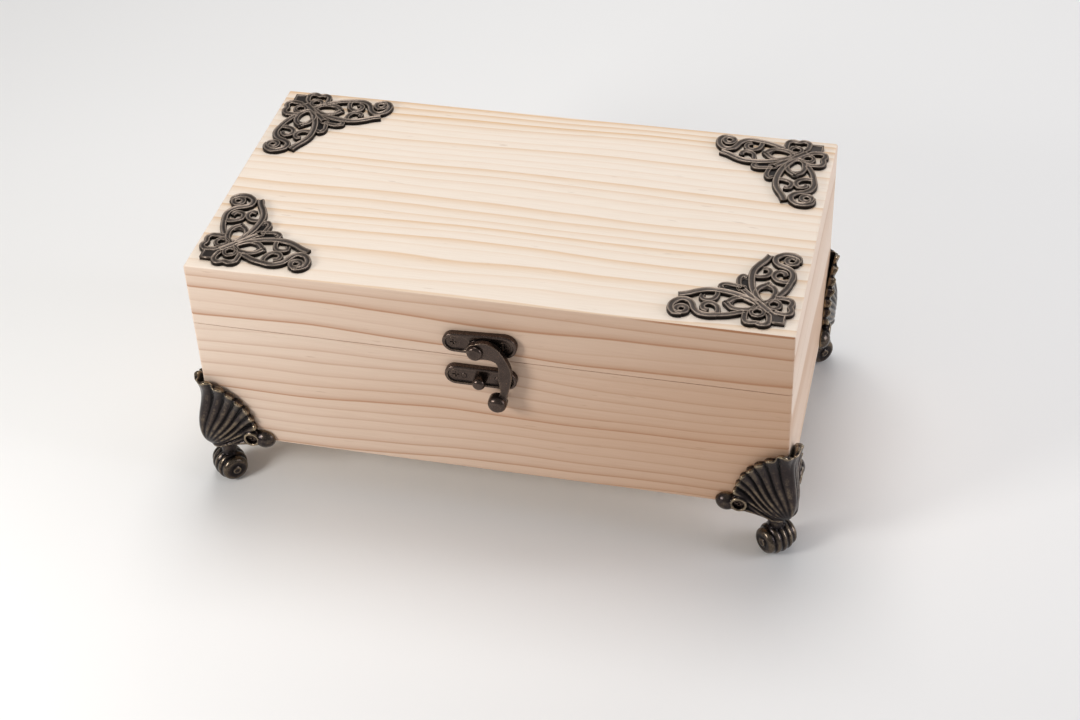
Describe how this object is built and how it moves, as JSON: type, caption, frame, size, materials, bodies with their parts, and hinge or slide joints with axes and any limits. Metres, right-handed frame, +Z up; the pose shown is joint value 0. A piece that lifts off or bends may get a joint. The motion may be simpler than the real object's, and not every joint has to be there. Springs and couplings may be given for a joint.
{
  "type": "wooden storage box",
  "caption": "Hinged-lid pine box on cast shell feet, with filigree lid corners and a swing-hook latch; holds small crafts parts and keepsakes.",
  "frame": {"origin": "on the table under the middle of the whole, latch included; the wooden box itself stands 1.75 mm behind it", "axes": "+X to the right as seen from the front, along the box's length; +Y to the back, where the hinges are; +Z up"},
  "size_m": [0.2286, 0.1321, 0.1041],
  "materials": {
    "pine": "sanded, unfinished",
    "antique_bronze": "antiqued, dark with worn edges"
  },
  "bodies": {
    "base": {"base_front_board": "pine", "base_back_board": "pine", "base_left_board": "pine", "base_right_board": "pine", "base_floor_panel": "pine", "foot_front_left": "antique_bronze", "foot_front_right": "antique_bronze", "foot_back_right": "antique_bronze", "foot_back_left": "antique_bronze", "foot_screws": "antique_bronze", "latch_base_plate": "antique_bronze", "latch_post": "antique_bronze", "latch_base_screws": "antique_bronze", "hinge_left_base_leaf": "antique_bronze", "hinge_left_pin": "antique_bronze", "hinge_right_base_leaf": "antique_bronze", "hinge_right_pin": "antique_bronze", "hinge_base_screws": "antique_bronze"},
    "lid": {"lid_front_rail": "pine", "lid_back_rail": "pine", "lid_left_rail": "pine", "lid_right_rail": "pine", "lid_top_panel": "pine", "ornament_front_left": "antique_bronze", "ornament_front_right": "antique_bronze", "ornament_back_right": "antique_bronze", "ornament_back_left": "antique_bronze", "latch_lid_plate": "antique_bronze", "latch_pivot_rivet": "antique_bronze", "latch_lid_screws": "antique_bronze", "hinge_left_lid_leaf": "antique_bronze", "hinge_right_lid_leaf": "antique_bronze", "hinge_lid_screws": "antique_bronze"},
    "hook": {"latch_hook": "antique_bronze"}
  },
  "joints": [
    {"name": "lid_hinge", "type": "hinge", "parent": "base", "child": "lid", "pos_m": [0, 0.06395, 0.07665], "axis": [-1, 0, 0], "range_deg": [0, 170]},
    {"name": "hook_swing", "type": "hinge", "parent": "lid", "child": "hook", "pos_m": [-0.0015, -0.05825, 0.08325], "axis": [0, -1, 0], "range_deg": [-18, 180]}
  ]
}
